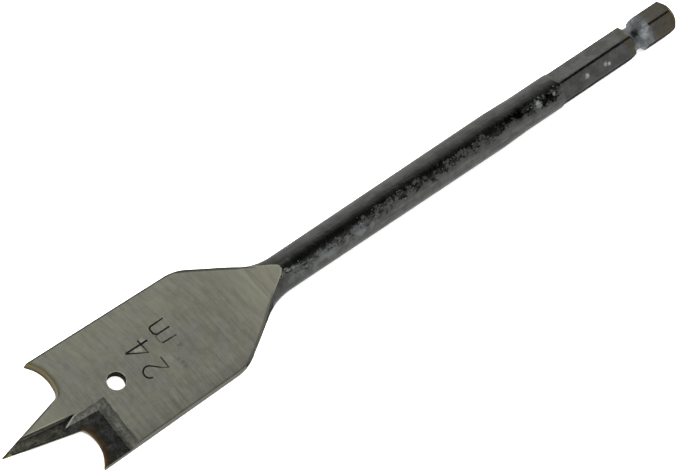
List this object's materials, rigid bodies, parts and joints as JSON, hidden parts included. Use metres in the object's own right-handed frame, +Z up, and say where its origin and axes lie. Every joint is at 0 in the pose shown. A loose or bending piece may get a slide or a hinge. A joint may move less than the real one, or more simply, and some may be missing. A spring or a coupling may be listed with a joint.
{
  "type": "spade drill bit",
  "caption": "Flat spade bit for boring wood, with a long centre point, hooked hollow-ground lips, a hole through the blade, a round rod and a hexagon shank with a detent groove.",
  "frame": {"origin": "middle of the bit's length and width on the table that it lies on", "axes": "+X along the bit from its point to its shank end, +Y across the blade, +Z up from the table"},
  "size_m": [0.16, 0.0238, 0.0076],
  "materials": {
    "tool_steel": "ground blade, dark oxide rod and shank"
  },
  "bodies": {
    "root": {"spade_bit": "tool_steel"}
  },
  "joints": []
}
